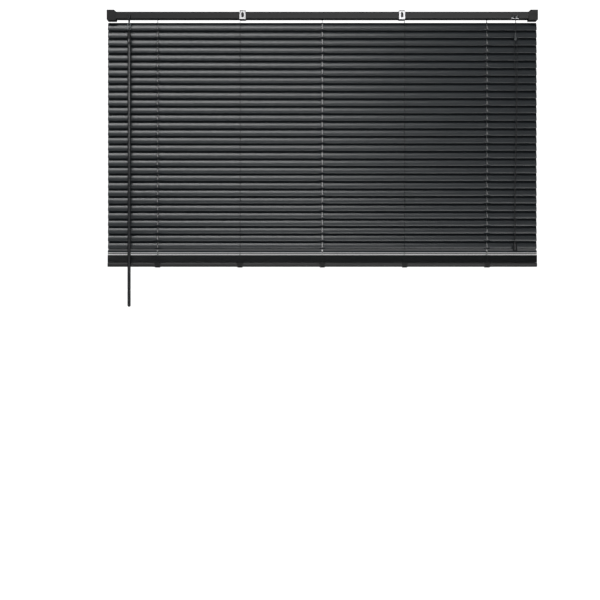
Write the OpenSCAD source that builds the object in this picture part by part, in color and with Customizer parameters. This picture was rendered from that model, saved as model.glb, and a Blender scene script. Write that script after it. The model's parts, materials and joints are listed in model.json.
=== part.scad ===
// Venetian blind with 25 mm aluminium slats, shown partly raised.
// Frame: X along the width, +Z up, the room side faces -Y.
// The origin is in the ceiling plane, at the middle of the head rail.

/* [Blind] */
// Width over the two end brackets
blind_w = 1200; // [900:50:1800]
// Slats that hang open on the ladders
open_slats = 30; // [6:1:30]
// Slats that lie stacked flat on the bottom rail
flat_slats = 42; // [10:1:60]

/* [Slats] */
// Width of a slat across its chord
slat_w = 25; // [24:0.5:26]
// Thickness of the slat metal
slat_t = 0.25; // [0.2:0.05:0.4]
// Height of the crown above the chord
slat_crown = 1.9; // [1.5:0.1:2.2]
// Vertical distance between open slats
slat_pitch = 21; // [20:0.5:22]
// Tilt of the open slats from level, front edge down
rest_tilt = 70; // [60:1:74]
// Rounding of the slat corners
slat_corner_r = 3; // [2:1:8]
// Length of a rout hole across the slat
rout_l = 15; // [15:1:17]
// Width of a rout hole
rout_w = 3; // [2.5:0.5:6]

/* [Head rail] */
// Depth of the head rail, front to back
head_d = 25; // [24:1:27]
// Height of the head rail
head_h = 20; // [20:1:22]
// Thickness of the head rail metal
head_t = 0.8; // [0.6:0.1:1]
// Distance from the ceiling down to the head rail
head_drop = 5.4; // [5:0.1:7]

/* [Brackets] */
// Width of an end bracket along the head rail
bracket_w = 26; // [24:1:30]
// Wall of an end bracket
bracket_t = 1.5; // [1.2:0.1:1.5]
// Width of a centre bracket
clip_w = 17; // [14:1:24]
// Thickness of the centre bracket steel
clip_t = 1; // [0.8:0.1:1]
// Radius of the screw holes
screw_r = 2.2; // [1.8:0.1:2.6]

/* [Tilt drive] */
// Radius of the ladder drums
drum_r = 7.5; // [6.5:0.1:7.5]
// Width across the flats of the tilt rod
rod_flats = 5; // [4:0.5:5]
// Teeth of the worm wheel, which is also the wand's turns for one turn of the rod
wheel_teeth = 12; // [12:1:14]
// Lean of the worm from vertical, towards the room
worm_lean = 25; // [24:1:26]

/* [Bottom rail] */
// Height of the bottom rail
rail_h = 11.6; // [10:0.2:13]
// Wall of the bottom rail
rail_t = 0.8; // [0.6:0.1:1.2]

/* [Controls] */
// Diameter of the tilt wand
wand_d = 9; // [6:0.5:9]
// Length of the tilt wand's rod
wand_l = 757; // [300:1:900]
// Diameter of the lift cords
lift_cord_d = 1.4; // [1:0.1:1.4]
// Diameter of one strand of the pull cord
pull_cord_d = 1.6; // [1.2:0.1:1.8]
// Diameter of the ladder strings
ladder_d = 0.8; // [0.6:0.1:0.8]

/* [Hidden] */
half_w = blind_w / 2;

// Head rail section and its place below the ceiling
head_top_z = -head_drop;
head_low_z = head_top_z - head_h;
head_floor_z = head_low_z + head_t;
head_end_gap = 0.5;
head_l = blind_w - 2 * (bracket_t + head_end_gap);
head_lip = 3.2;

// Slats
slat_l = blind_w - 4;
rout_corner = 0.45 * rout_w;
crown_r = (slat_w * slat_w / 4 + slat_crown * slat_crown) / (2 * slat_crown);
first_slat_z = -45.5;
last_slat_z = first_slat_z - (open_slats - 1) * slat_pitch;

// Stack on the bottom rail: two loose slats over the flat ones
flat_step = 0.47;
loose_drop = [16.5, 24.7];
loose_tilt = [25, 9];
flat_top_z = last_slat_z - 29.6;
flat_low_z = flat_top_z - (flat_slats - 1) * flat_step;
rail_top_z = flat_low_z - 0.3;
rail_low_z = rail_top_z - rail_h;
rail_d = 26.4;
rail_slope_in = 2;
rail_slope_h = 3.6;
rail_corner = 1.5;
rail_end_t = 4;
rail_l = blind_w - 4 - 2 * rail_end_t;

// Ladders and lift cords along the width
ladder_edge = 141;
ladder_step = (half_w - ladder_edge) / 2;
ladder_x = [for (i = [-2:2]) i * ladder_step];
lift_x = [ladder_x[0], ladder_x[2], ladder_x[4]];
lift_run_y = [-3.6, -1.9, 1.6];
lift_run_z = head_floor_z + 2.4;

// Tilt rod and drums
rod_z = head_top_z - 8;
rod_corner_d = rod_flats / cos(30);
rod_bore_d = (rod_flats + 0.1) / cos(30);
journal_r = 3.5;
wheel_journal_r = 3.4;
running_gap = 0.05;
drum_half = 4;
cheek_in = 4.4;
cheek_t = 1.5;

// Tilter: the worm's axis runs up and back from its eye
tilter_x = -half_w + 63;
eye_y = -19.5;
eye_z = -38;
wheel_root_r = 3.6;
wheel_tip_r = 4.25;
worm_shaft_r = 2.5;
worm_r = 2.6;
eye_r = 3.2;
eye_t = 2;

// Link between the worm's eye and the wand
link_wire_r = 0.7;
link_half_w = 3.5;
link_l = 20;
wand_pin_z = eye_z - link_l;
ferrule_l = 16;
ferrule_neck = 6;
wand_top_z = wand_pin_z - ferrule_neck - 6;

// Cord lock and pull cord
lock_x = half_w - 64;
cord_y = -20.5;
connector_x = 537;
connector_top_z = -66;
connector_l = 22;
tassel_top_z = -649;
tassel_l = 22;
tassel_x = half_w - 65;

// Ladder strings, set off from the slat edges
string_out = 13;
string_lift = 0.7;
string_y = string_out * cos(rest_tilt) + string_lift * sin(rest_tilt);

// End bracket section, seen from the front: distance in from the outer face, height
bracket_h = -head_low_z + 4;
bracket_d = head_d + 4;
bracket_back = bracket_d / 2;
gate_gap = 0.3;
gate_t = 1.4;
gate_pivot_r = 1.3;
gate_pin_r = 0.8;
barrel_end = 18.1;
bracket_hole_in = 10;
hole_span = 12;
clip_x = half_w - 378;

// Pull cord routes, from the cord lock to the connector and on to the tassel
upper_route = [
    [536, -12.5, -20], [536, -14.2, -20], [536, -16, -20.4], [536.2, -20.5, -21.8],
    [536.4, -19.4, -24], [536.6, -20.2, -27], [536.8, -20.5, -31], [537, -20.5, -36],
    [537, -20.5, -42], [537, -20.5, -48], [537, -20.5, -54], [537, -20.5, -60], [537, -20.5, -66]
];
right_route = [
    [540.3, -20.5, -88], [541, -20.5, -104], [541.3, -20.5, -122], [541.4, -20.5, -142],
    [541.4, -20.5, -164], [541.3, -20.5, -188], [541.2, -20.5, -214], [541, -20.5, -242],
    [540.7, -20.5, -272], [540.4, -20.5, -302], [540, -20.5, -332], [539.6, -20.5, -360],
    [539, -20.5, -388], [538.2, -20.5, -414], [537.4, -20.5, -440], [536.7, -20.5, -466],
    [536.2, -20.5, -492], [536, -20.5, -520], [535.9, -20.5, -550], [535.9, -20.5, -580],
    [535.9, -20.5, -610], [536, -20.5, -632], [536, -20.5, -649]
];
left_route = [
    [533.7, -20.5, -88], [533.4, -20.5, -104], [533.5, -20.5, -122], [534.2, -20.5, -142],
    [535.4, -20.5, -164], [536.8, -20.5, -188], [538, -20.5, -214], [538.8, -20.5, -242],
    [538.6, -20.5, -272], [538.3, -20.5, -302], [537.9, -20.5, -332], [537.5, -20.5, -360],
    [536.9, -20.5, -388], [536.1, -20.5, -414], [535.3, -20.5, -440], [534.6, -20.5, -466],
    [534.1, -20.5, -492], [533.9, -20.5, -520], [533.8, -20.5, -550], [533.8, -20.5, -580],
    [533.8, -20.5, -610], [533.9, -20.5, -632], [534, -20.5, -649]
];

slat_names = [for (i = [1:open_slats]) str("slat_", i < 10 ? "0" : "", i)];

charcoal = [0.20, 0.21, 0.22];
slat_grey = [0.26, 0.28, 0.29];
silver = [0.75, 0.75, 0.76];
cord_grey = [0.17, 0.17, 0.18];
pale_plastic = [0.62, 0.65, 0.66];

// ---- Shared shapes ----

// Rectangle with round corners, centred
module rounded(w, h, r) {
    square([w - 2 * r, h], center = true);
    square([w, h - 2 * r], center = true);
    for (x = [-1, 1], y = [-1, 1]) {
        translate([x * (w / 2 - r), y * (h / 2 - r)])
            circle(r = r, $fn = 48);
    }
}

// Rectangle with each corner cut twice, near to a round one of radius r, centred
module cut_corners(w, h, r) {
    x = w / 2;
    y = h / 2;
    step = r * (1 - cos(45));
    polygon([
        [x, y - r], [x - step, y - step], [x - r, y], [-x + r, y], [-x + step, y - step], [-x, y - r],
        [-x, -y + r], [-x + step, -y + step], [-x + r, -y], [x - r, -y], [x - step, -y + step], [x, -y + r]
    ]);
}

// Slot with round ends, centred, long way along Y
module slot(l, w) {
    square([w, l - w], center = true);
    for (y = [-1, 1]) {
        translate([0, y * (l - w) / 2])
            circle(d = w, $fn = 32);
    }
}

// Cylinder along X, centred at a height and depth
module rod_x(x0, x1, y, z, r) {
    translate([x0, y, z])
        rotate([0, 90, 0])
            cylinder(r = r, h = x1 - x0, $fn = 48);
}

// Box from its low corner to its high corner
module span(low, high) {
    translate(low)
        cube(high - low);
}

// A (y, z) section extruded along X, centred
module along_x(length) {
    rotate([90, 0, 90])
        linear_extrude(length, center = true)
            children();
}

// Straight round runs between the points of a held cord, with a small knuckle at each bend
module held_cord(points, d) {
    for (i = [0:len(points) - 2]) {
        run = points[i + 1] - points[i];
        flat = norm([run[0], run[1]]);
        translate(points[i])
            rotate([0, atan2(flat, run[2]), atan2(run[1], run[0])])
                cylinder(d = i % 2 == 0 ? d : 0.94 * d, h = norm(run), $fn = 24);
    }
    for (i = [1:len(points) - 2]) {
        translate(points[i])
            sphere(d = 1.15 * d, $fn = 24);
    }
}

// Direction of a route at each of its points
function route_turn(route, i) =
    let (last = len(route) - 1)
    let (step = route[min(i + 1, last)] - route[max(i - 1, 0)])
    step / norm(step);

// A hanging cord: one ring of points for each point of its route
module swept_cord(route, d) {
    sides = 8;
    last = len(route) - 1;
    side_way = [1, 0, 0];
    rings = [
        for (i = [0:last])
            let (ahead = route_turn(route, i))
            let (out = cross(ahead, side_way) / norm(cross(ahead, side_way)))
            let (across = cross(out, ahead))
            for (k = [0:sides - 1])
                route[i] + d / 2 * (across * cos(360 * k / sides) + out * sin(360 * k / sides))
    ];
    walls = [
        for (i = [0:last - 1], k = [0:sides - 1])
            let (next = (k + 1) % sides)
            [i * sides + k, i * sides + next, (i + 1) * sides + next, (i + 1) * sides + k]
    ];
    low_end = [for (k = [sides - 1:-1:0]) k];
    far_end = [for (k = [0:sides - 1]) last * sides + k];
    polyhedron(points = rings, faces = concat(walls, [low_end, far_end]), convexity = 4);
}

// ---- Slats ----

// One slat, level, with its chord's middle at the origin and its crown up
module slat_shape() {
    difference() {
        intersection() {
            along_x(slat_l)
                translate([0, slat_crown - crown_r])
                    intersection() {
                        difference() {
                            circle(r = crown_r, $fn = 240);
                            circle(r = crown_r - slat_t, $fn = 240);
                        }
                        translate([-slat_w / 2, 0])
                            square([slat_w, 2 * crown_r]);
                    }
            linear_extrude(4 * slat_crown, center = true)
                cut_corners(slat_l, slat_w + 0.6, slat_corner_r);
        }
        for (x = lift_x) {
            translate([x, 0, 0])
                linear_extrude(4 * slat_crown, center = true)
                    cut_corners(rout_w, rout_l, rout_corner);
        }
    }
}

module open_slat(i) {
    color(slat_grey)
        translate([0, 0, first_slat_z - (i - 1) * slat_pitch])
            rotate([rest_tilt, 0, 0])
                slat_shape();
}

module slat_stack() {
    color(slat_grey) {
        for (i = [0:1]) {
            translate([0, 0, last_slat_z - loose_drop[i]])
                rotate([loose_tilt[i], 0, 0])
                    slat_shape();
        }
        for (i = [0:flat_slats - 1]) {
            translate([0, 0, flat_top_z - i * flat_step])
                slat_shape();
        }
    }
}

// ---- Head rail and what it holds ----

module headrail() {
    window_x = 3;
    window_y = 10.6;
    color(charcoal)
        difference() {
            translate([0, 0, (head_top_z + head_low_z) / 2])
                along_x(head_l)
                    difference() {
                        rounded(head_d, head_h, 1.4);
                        rounded(head_d - 2 * head_t, head_h - 2 * head_t, 0.6);
                        translate([0, head_h / 2])
                            square([head_d - 2 * head_lip, 4 * head_t], center = true);
                    }
            for (x = ladder_x) {
                span([x - window_x, -window_y, head_low_z - 1], [x + window_x, window_y, head_floor_z + 1]);
            }
            span([tilter_x - 5.5, -head_d, head_low_z - 1], [tilter_x + 5.5, -8.5, -15]);
            span([lock_x - 9, -head_d, head_low_z - 1], [lock_x + 11, -7.5, -17]);
        }
}

module drum_cradles() {
    base_y = 11.2;
    cheek_y = 9.5;
    base_top = head_floor_z + 1.2;
    color("dimgray")
        for (x = ladder_x) {
            translate([x, 0, 0])
                difference() {
                    union() {
                        span([-8, -base_y, head_floor_z], [8, base_y, base_top]);
                        for (side = [-1, 1]) {
                            mid = side * (cheek_in + cheek_t / 2);
                            span([mid - cheek_t / 2, -cheek_y, head_floor_z],
                                 [mid + cheek_t / 2, cheek_y, rod_z + 5.5]);
                        }
                    }
                    rod_x(-10, 10, 0, rod_z, journal_r + running_gap);
                    span([-2.5, -10.5, head_low_z], [2.5, 10.5, base_top + 0.1]);
                    span([-9, -4.4, base_top], [9, 2.8, base_top + 2.8]);
                }
        }
}

// Places a shape that is drawn up the worm's axis from the eye
module on_worm_axis(s) {
    translate([tilter_x, eye_y, eye_z])
        rotate([-worm_lean, 0, 0])
            translate([0, 0, s])
                children();
}

module tilter_housing() {
    color("dimgray")
        difference() {
            union() {
                span([tilter_x - 11, -11.3, head_floor_z], [tilter_x + 11, 11.3, -6.2]);
                on_worm_axis(12)
                    cylinder(r = worm_shaft_r + 1.5, h = 11, $fn = 48);
            }
            rod_x(tilter_x - 12, tilter_x + 12, 0, rod_z, wheel_journal_r + running_gap);
            rod_x(tilter_x - 3, tilter_x + 3, 0, rod_z, wheel_tip_r + 0.5);
            on_worm_axis(11)
                cylinder(r = worm_shaft_r + running_gap, h = 16, $fn = 48);
            on_worm_axis(25.7)
                cylinder(r = worm_r + 0.4, h = 8.2, $fn = 48);
        }
}

module tilter_worm() {
    color("dimgray") {
        difference() {
            union() {
                on_worm_axis(2)
                    cylinder(r = worm_shaft_r, h = 24.5, $fn = 48);
                on_worm_axis(26.2)
                    cylinder(r = worm_r, h = 7.2, $fn = 48);
                on_worm_axis(0)
                    rotate([0, 90, 0])
                        cylinder(r = eye_r, h = eye_t, center = true, $fn = 48);
            }
            on_worm_axis(0)
                rotate([0, 90, 0])
                    cylinder(r = 1.8, h = 3 * eye_t, center = true, $fn = 48);
        }
    }
}

module cord_lock() {
    x0 = lock_x - 14;
    x1 = lock_x + 14;
    color(silver)
        difference() {
            span([x0, -11.2, head_floor_z], [x1, 11.2, -8]);
            span([x0 + 1.5, -12, head_floor_z + 1.2], [x1 - 1.5, 9.5, -9.5]);
            span([x0 - 1, -4.4, head_floor_z + 1.2], [x0 + 2, 2.8, -18]);
            for (x = [lock_x - 4.5, lock_x + 7]) {
                translate([x, -8.6, head_low_z])
                    cylinder(r = 1.2 + running_gap, h = head_h, $fn = 32);
            }
        }
}

module lock_roller() {
    color(silver)
        translate([lock_x - 4.5, -8.6, 0]) {
            translate([0, 0, head_floor_z + 1.6])
                cylinder(r = 2.8, h = 13, $fn = 48);
            translate([0, 0, head_floor_z + 0.1])
                cylinder(r = 1.2, h = 16.4, $fn = 32);
        }
}

module lock_pawl() {
    color(silver)
        translate([lock_x + 7, -8.6, 0]) {
            translate([0, 0, head_floor_z + 1.6]) {
                difference() {
                    union() {
                        cylinder(r = 2.6, h = 12.6, $fn = 48);
                        span([-4.4, -2, 0], [0, 0.2, 12.6]);
                    }
                    span([-5, -3, 5.8], [-3.2, 1, 6.8]);
                }
            }
            translate([0, 0, head_floor_z + 0.1])
                cylinder(r = 1.2, h = 16.4, $fn = 32);
        }
}

// ---- Tilt drive ----

module rod_bore(x0, x1) {
    translate([x0, 0, rod_z])
        rotate([0, 90, 0])
            cylinder(d = rod_bore_d, h = x1 - x0, $fn = 6);
}

module tilt_rod() {
    color(silver)
        translate([tilter_x - 9, 0, rod_z])
            rotate([0, 90, 0])
                cylinder(d = rod_corner_d, h = ladder_x[4] + 9 - tilter_x + 9, $fn = 6);
}

module ladder_drums() {
    color("dimgray")
        for (x = ladder_x) {
            difference() {
                union() {
                    rod_x(x - drum_half, x + drum_half, 0, rod_z, drum_r - 0.8);
                    for (side = [-1, 1]) {
                        edge = x + side * (drum_half - 0.5);
                        rod_x(edge - 0.5, edge + 0.5, 0, rod_z, drum_r);
                    }
                    rod_x(x - 6.3, x + 6.3, 0, rod_z, journal_r);
                }
                rod_bore(x - 7, x + 7);
            }
        }
}

// Wheel outline with straight-sided teeth, one per turn of the worm
module wheel_section() {
    circle(r = wheel_root_r, $fn = 48);
    for (i = [0:wheel_teeth - 1]) {
        rotate(360 * i / wheel_teeth)
            polygon([
                [wheel_root_r - 0.3, -0.6], [wheel_tip_r, -0.3],
                [wheel_tip_r, 0.3], [wheel_root_r - 0.3, 0.6]
            ]);
    }
}

module worm_wheel() {
    color("gainsboro")
        difference() {
            union() {
                translate([tilter_x, 0, rod_z])
                    along_x(5)
                        wheel_section();
                rod_x(tilter_x - 6.5, tilter_x + 6.5, 0, rod_z, wheel_journal_r);
            }
            rod_bore(tilter_x - 8, tilter_x + 8);
        }
}

// ---- Wand ----

// Half a ring of wire in the XZ plane, open side down
module link_bend() {
    rotate([90, 0, 0])
        rotate_extrude(angle = 180, $fn = 48)
            translate([link_half_w, 0])
                circle(r = link_wire_r, $fn = 24);
}

module wand_link() {
    side_l = link_l - 2 * link_half_w;
    color(pale_plastic)
        translate([tilter_x, eye_y, eye_z - link_half_w]) {
            link_bend();
            translate([0, 0, -side_l])
                rotate([180, 0, 0])
                    link_bend();
            for (side = [-1, 1]) {
                translate([side * link_half_w, 0, -side_l])
                    cylinder(r = link_wire_r, h = side_l, $fn = 24);
            }
        }
}

module wand_ferrule() {
    color(charcoal)
        translate([tilter_x, eye_y, 0])
            difference() {
                union() {
                    rod_x(-eye_t / 2, eye_t / 2, 0, wand_pin_z, eye_r);
                    span([-eye_t / 2, -2, wand_pin_z - ferrule_neck - 1], [eye_t / 2, 2, wand_pin_z - 1.8]);
                    translate([0, 0, wand_pin_z - ferrule_neck - ferrule_l])
                        cylinder(r = wand_d / 2 + 0.7, h = ferrule_l - 2, $fn = 48);
                    translate([0, 0, wand_pin_z - ferrule_neck - 2])
                        cylinder(r1 = wand_d / 2 + 0.7, r2 = 2.6, h = 2, $fn = 48);
                }
                rod_x(-eye_t, eye_t, 0, wand_pin_z, 1.1);
                translate([0, 0, wand_pin_z - ferrule_neck - ferrule_l - 1])
                    cylinder(r = wand_d / 2 + 0.02, h = ferrule_l - 5, $fn = 48);
            }
}

module wand_rod() {
    color(charcoal)
        translate([tilter_x, eye_y, wand_top_z - wand_l + wand_d / 2]) {
            cylinder(d = wand_d, h = wand_l - wand_d / 2, $fn = 48);
            sphere(d = wand_d, $fn = 48);
        }
}

// ---- Ladders and lift cords ----

module ladder_strings(y, top_z, low_z) {
    color(cord_grey)
        for (x = ladder_x) {
            translate([x, y, low_z])
                cylinder(d = ladder_d, h = top_z - low_z, $fn = 16);
        }
}

module ladder_strings_front() {
    ladder_strings(-string_y, head_low_z - 1.5, last_slat_z - slat_w / 2 * sin(rest_tilt));
}

module ladder_strings_back() {
    ladder_strings(string_y, head_low_z + 6, last_slat_z + slat_w / 2 * sin(rest_tilt) - 4);
}

module lift_cords() {
    color(cord_grey)
        for (i = [0:2]) {
            held_cord([
                [lift_x[i], 0, rail_low_z + 3],
                [lift_x[i], 0, lift_run_z],
                [lock_x - 12.3, lift_run_y[i], lift_run_z]
            ], lift_cord_d);
        }
}

// ---- Bottom rail ----

// The rail's section, drawn in by an inset: sloped shoulders above, cut corners below
module rail_section(inset) {
    x = rail_d / 2 - inset;
    z = rail_h / 2 - inset;
    polygon([
        [-x + rail_corner, -z], [x - rail_corner, -z], [x, -z + rail_corner], [x, z - rail_slope_h],
        [x - rail_slope_in, z], [-x + rail_slope_in, z], [-x, z - rail_slope_h], [-x, -z + rail_corner]
    ]);
}

module bottom_rail() {
    color(charcoal)
        difference() {
            translate([0, 0, (rail_top_z + rail_low_z) / 2])
                along_x(rail_l)
                    difference() {
                        rail_section(0);
                        rail_section(rail_t);
                    }
            for (x = ladder_x) {
                translate([x, 0, rail_low_z - 1])
                    cylinder(r = 4.4, h = rail_t + 2, $fn = 48);
            }
            for (x = lift_x) {
                translate([x, 0, rail_top_z - 2])
                    cylinder(r = 1.6, h = 3, $fn = 32);
            }
        }
}

module rail_end_caps() {
    color(charcoal)
        for (side = [0, 1]) {
            mirror([side, 0, 0])
                translate([rail_l / 2, 0, (rail_top_z + rail_low_z) / 2]) {
                    translate([rail_end_t / 2, 0, 0])
                        along_x(rail_end_t)
                            rail_section(0);
                    translate([-4, 0, 0])
                        along_x(8)
                            rail_section(rail_t + 0.1);
                }
        }
}

// A clip pushed up into the rail, with a button below and a shield in front
module rail_clip() {
    shield_y = rail_d / 2 + 1.5;
    button_low = rail_low_z - 2.2;
    difference() {
        union() {
            translate([0, 0, button_low])
                cylinder(r = 7, h = 2.1, $fn = 48);
            span([-7, -shield_y, button_low], [7, 0, rail_low_z - 0.1]);
            translate([0, 0, rail_low_z - 0.2])
                cylinder(r = 4.3, h = 6, $fn = 48);
            translate([0, -rail_d / 2 - 0.1, 0])
                rotate([90, 0, 0])
                    linear_extrude(1.4)
                        union() {
                            translate([0, rail_low_z + 2])
                                circle(r = 7, $fn = 48);
                            translate([-7, rail_low_z + 2])
                                square([14, rail_h - 3]);
                            for (side = [-1, 1]) {
                                translate([side * 7, rail_top_z - 1])
                                    circle(r = 2.2, $fn = 32);
                            }
                        }
        }
        translate([0, 0, button_low + 1.5])
            cylinder(r = 1.2, h = 12, $fn = 32);
        span([-10, -30, rail_low_z - 20], [10, 30, button_low]);
    }
}

module rail_clips() {
    color(charcoal)
        for (x = ladder_x) {
            translate([x, 0, 0])
                rail_clip();
        }
}

// ---- Brackets ----

// The bracket's outline: distance in from the outer face, height
module bracket_outline() {
    polygon([
        [0.8, 0], [bracket_w - 5.5, 0], [bracket_w, -5.2], [bracket_w, -bracket_h + 1],
        [bracket_w - 1, -bracket_h], [2.2, -bracket_h], [0, -bracket_h + 2.2], [0, -0.8]
    ]);
}

// Puts a right-hand bracket, drawn inwards from its outer face, at its end
module at_end(side) {
    mirror([side < 0 ? 1 : 0, 0, 0])
        translate([half_w, 0, 0])
            mirror([1, 0, 0])
                children();
}

module end_bracket(side) {
    front = -bracket_back;
    floor_z = -bracket_h + bracket_t;
    gate_back = front + gate_t + gate_gap;
    color(charcoal)
        at_end(side)
            difference() {
                union() {
                    difference() {
                        translate([0, bracket_back, 0])
                            rotate([90, 0, 0])
                                linear_extrude(bracket_d)
                                    bracket_outline();
                        span([bracket_t, front - 1, floor_z], [40, bracket_back - bracket_t, -bracket_t]);
                        span([bracket_t, front - 1, -40], [40, gate_back, 1]);
                        span([bracket_t, front - 1, -4], [40, front + 3, 1]);
                    }
                    rod_x(barrel_end + gate_gap, 20, front + gate_pivot_r, -gate_pivot_r, gate_pivot_r);
                    span([barrel_end + gate_gap, front + gate_pivot_r, -2.6], [20, front + 4, -0.2]);
                    for (y = [-7, 7]) {
                        span([bracket_t - 0.1, y - 1, floor_z - 0.1], [bracket_w - 2, y + 1, head_low_z - 0.1]);
                    }
                }
                rod_x(0.4, bracket_w, front + gate_pivot_r, -gate_pivot_r, gate_pin_r + running_gap);
                for (k = [-1, 1]) {
                    translate([bracket_hole_in, k * hole_span / 2, -5])
                        cylinder(r = screw_r, h = 10, $fn = 48);
                    translate([bracket_hole_in, bracket_back - 5, -bracket_h / 2 + k * hole_span / 2])
                        rotate([-90, 0, 0])
                            cylinder(r = screw_r, h = 10, $fn = 48);
                }
            }
}

module bracket_gate(side) {
    front = -bracket_back;
    inner = bracket_t + gate_gap;
    color(charcoal)
        at_end(side) {
            difference() {
                translate([0, front + gate_t, 0])
                    rotate([90, 0, 0])
                        linear_extrude(gate_t)
                            bracket_outline();
                span([-1, front - 1, -40], [inner, front + 4, 1]);
                span([barrel_end, front - 1, -3], [40, front + 4, 1]);
                span([-1, front - 1, -gate_pivot_r], [40, front + 4, 1]);
            }
            rod_x(inner, barrel_end, front + gate_pivot_r, -gate_pivot_r, gate_pivot_r);
            rod_x(0.6, 20, front + gate_pivot_r, -gate_pivot_r, gate_pin_r);
        }
}

module centre_bracket(side) {
    front = -head_d / 2 - 0.2 - clip_t;
    low = head_low_z - 0.1 - clip_t;
    hook_low = head_top_z + 0.1;
    notch_x = ladder_x[3] - clip_x - 3.3;
    notch_y = 11.5;
    color(silver)
        translate([side * clip_x, 0, 0])
            difference() {
                union() {
                    span([-clip_w / 2, bracket_back - clip_t, low], [clip_w / 2, bracket_back, 0]);
                    span([-clip_w / 2, front, low], [clip_w / 2, bracket_back, low + clip_t]);
                    span([-clip_w / 2, front, low], [clip_w / 2, front + clip_t, hook_low + clip_t]);
                    span([-clip_w / 2, front, hook_low], [clip_w / 2, front + 4.2, hook_low + clip_t]);
                    span([-clip_w / 2, -6, -clip_t], [clip_w / 2, bracket_back, 0]);
                }
                translate([0, front + clip_t + 1, (head_top_z + head_low_z) / 2 + 1])
                    rotate([90, 0, 0])
                        linear_extrude(clip_t + 2)
                            slot(14.5, 6.6);
                mirror([side < 0 ? 1 : 0, 0, 0])
                    span([notch_x, -notch_y, low - 1], [clip_w, notch_y, low + clip_t + 1]);
                translate([0, 0, -5])
                    cylinder(r = screw_r, h = 10, $fn = 48);
                translate([0, bracket_back - 5, -bracket_h / 2])
                    rotate([-90, 0, 0])
                        cylinder(r = screw_r, h = 10, $fn = 48);
            }
}

// ---- Pull cord ----

module pull_cord() {
    color(cord_grey) {
        swept_cord(upper_route, 1.2 * pull_cord_d);
        swept_cord(right_route, pull_cord_d);
        swept_cord(left_route, pull_cord_d);
    }
}

module cord_connector() {
    color(pale_plastic)
        translate([connector_x, cord_y, connector_top_z - connector_l]) {
            cylinder(r1 = 4.6, r2 = 4.3, h = 8, $fn = 48);
            translate([0, 0, 8])
                cylinder(r1 = 4.3, r2 = 2.2, h = connector_l - 8, $fn = 48);
        }
}

module cord_tassel() {
    color(charcoal)
        translate([tassel_x, cord_y, tassel_top_z - tassel_l])
            rotate_extrude($fn = 48)
                polygon([
                    [0, 0], [5.6, 0], [6.5, 0.9], [6.5, 3], [5.6, 12], [4.9, 20], [4.2, tassel_l], [0, tassel_l]
                ]);
}

for (i = [1:open_slats]) {
    open_slat(i);
}
headrail();
end_bracket(-1);  // end_bracket_left
end_bracket(1);  // end_bracket_right
bracket_gate(-1);  // bracket_gate_left
bracket_gate(1);  // bracket_gate_right
centre_bracket(-1);  // centre_bracket_left
centre_bracket(1);  // centre_bracket_right
drum_cradles();
tilter_housing();
cord_lock();
lock_roller();
lock_pawl();
tilt_rod();
ladder_drums();
worm_wheel();
tilter_worm();
wand_link();
wand_ferrule();
wand_rod();
ladder_strings_front();
ladder_strings_back();
lift_cords();
slat_stack();
bottom_rail();
rail_end_caps();
rail_clips();
pull_cord();
cord_connector();
cord_tassel();
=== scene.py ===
import json
import math

import bmesh
import bpy
import numpy as np
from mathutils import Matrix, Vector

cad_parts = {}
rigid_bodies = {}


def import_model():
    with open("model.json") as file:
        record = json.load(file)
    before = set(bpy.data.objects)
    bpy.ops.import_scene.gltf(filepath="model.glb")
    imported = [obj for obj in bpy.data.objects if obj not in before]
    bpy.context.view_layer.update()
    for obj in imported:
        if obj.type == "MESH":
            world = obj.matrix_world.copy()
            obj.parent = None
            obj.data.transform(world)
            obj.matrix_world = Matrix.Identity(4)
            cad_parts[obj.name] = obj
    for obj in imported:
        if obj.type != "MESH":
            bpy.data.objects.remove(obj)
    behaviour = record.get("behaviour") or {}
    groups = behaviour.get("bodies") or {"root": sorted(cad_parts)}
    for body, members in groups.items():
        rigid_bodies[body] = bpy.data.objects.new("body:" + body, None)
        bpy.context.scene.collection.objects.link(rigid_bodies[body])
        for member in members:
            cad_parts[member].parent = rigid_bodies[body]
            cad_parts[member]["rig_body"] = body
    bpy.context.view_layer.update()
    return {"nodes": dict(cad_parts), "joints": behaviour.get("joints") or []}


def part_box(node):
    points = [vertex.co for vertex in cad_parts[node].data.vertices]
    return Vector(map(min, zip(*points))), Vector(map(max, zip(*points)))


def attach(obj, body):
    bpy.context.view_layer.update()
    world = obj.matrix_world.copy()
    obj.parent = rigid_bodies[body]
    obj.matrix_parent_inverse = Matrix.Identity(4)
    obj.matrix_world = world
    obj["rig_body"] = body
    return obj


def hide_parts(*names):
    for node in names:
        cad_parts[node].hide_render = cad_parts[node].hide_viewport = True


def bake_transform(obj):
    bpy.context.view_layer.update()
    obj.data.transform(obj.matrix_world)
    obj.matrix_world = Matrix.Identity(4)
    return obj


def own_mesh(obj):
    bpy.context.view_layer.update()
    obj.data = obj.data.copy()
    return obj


bl_info = {
    "name": "Venetian Blind",
    "version": (1, 0, 0),
    "blender": (4, 5, 0),
    "location": "3D View > Sidebar > Blind",
    "description": "Slats, ladders, cords and hardware of a venetian blind around its packed frame",
    "category": "Object",
}

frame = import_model()
MM = 0.001
JOINTS = {joint["name"]: joint for joint in frame["joints"]}
OPEN_SLATS = sorted(name for name in frame["nodes"] if name.startswith("slat_0") or name[5:].isdigit())
LAST_SLAT_Z = JOINTS["slat_30_turn"]["pos_m"][2]
LIFT_TRAVEL = -JOINTS["lift"]["range_m"][0]
LIFT_LADDERS = [0, 2, 4]                        # the ladders beside which a lift cord runs
ROUT_HALF_STRAIGHT, ROUT_RADIUS = 6 * MM, 1.5 * MM
LOOSE_SLATS = ((16.5 * MM, 25), (24.7 * MM, 9))  # drop below the last open slat, tilt in degrees
FLAT_TOP_DROP, FLAT_STEP = 29.6 * MM, 0.47 * MM


# ---- Sizes and colours a user would change ----

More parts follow.
